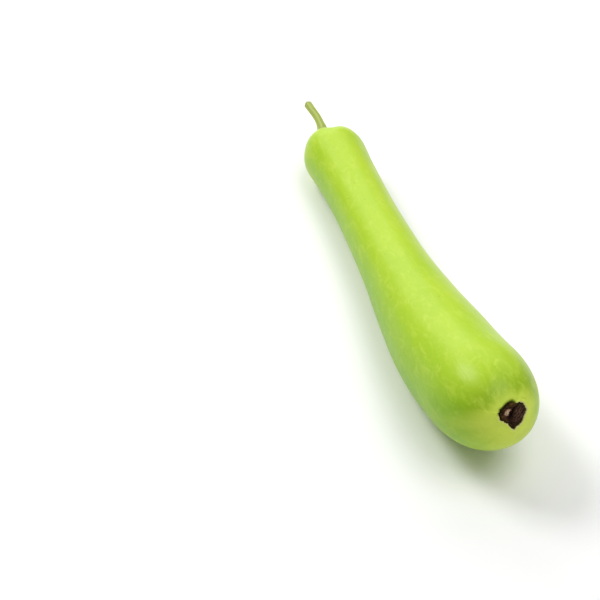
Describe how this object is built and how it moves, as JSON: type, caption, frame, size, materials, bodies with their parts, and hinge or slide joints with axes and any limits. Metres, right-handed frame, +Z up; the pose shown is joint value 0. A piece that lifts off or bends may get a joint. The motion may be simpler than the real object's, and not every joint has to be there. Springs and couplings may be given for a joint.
{
  "type": "bottle gourd",
  "caption": "Whole long bottle gourd on its side: slim neck with a curved cut stalk in a puckered dimple, and a fuller belly with a dry ragged flower scar.",
  "frame": {"origin": "middle of the bounding box in plan, at the height of the surface that the gourd lies on", "axes": "+X runs along the gourd from its belly end to its stem end, and +Z is up"},
  "size_m": [0.4586, 0.0758, 0.0853],
  "materials": {
    "gourd_skin": "smooth waxy fruit skin, bright yellow-green with paler mottling, satin to glossy",
    "gourd_stalk": "ridged green fruit stalk, satin, with a pale cut end that has a brown rim",
    "dry_scar": "dry corky flower remnant, dark brown with tan fibres, matt"
  },
  "bodies": {
    "root": {"fruit": "gourd_skin", "stem": "gourd_stalk", "blossom_scar": "dry_scar"}
  },
  "joints": []
}
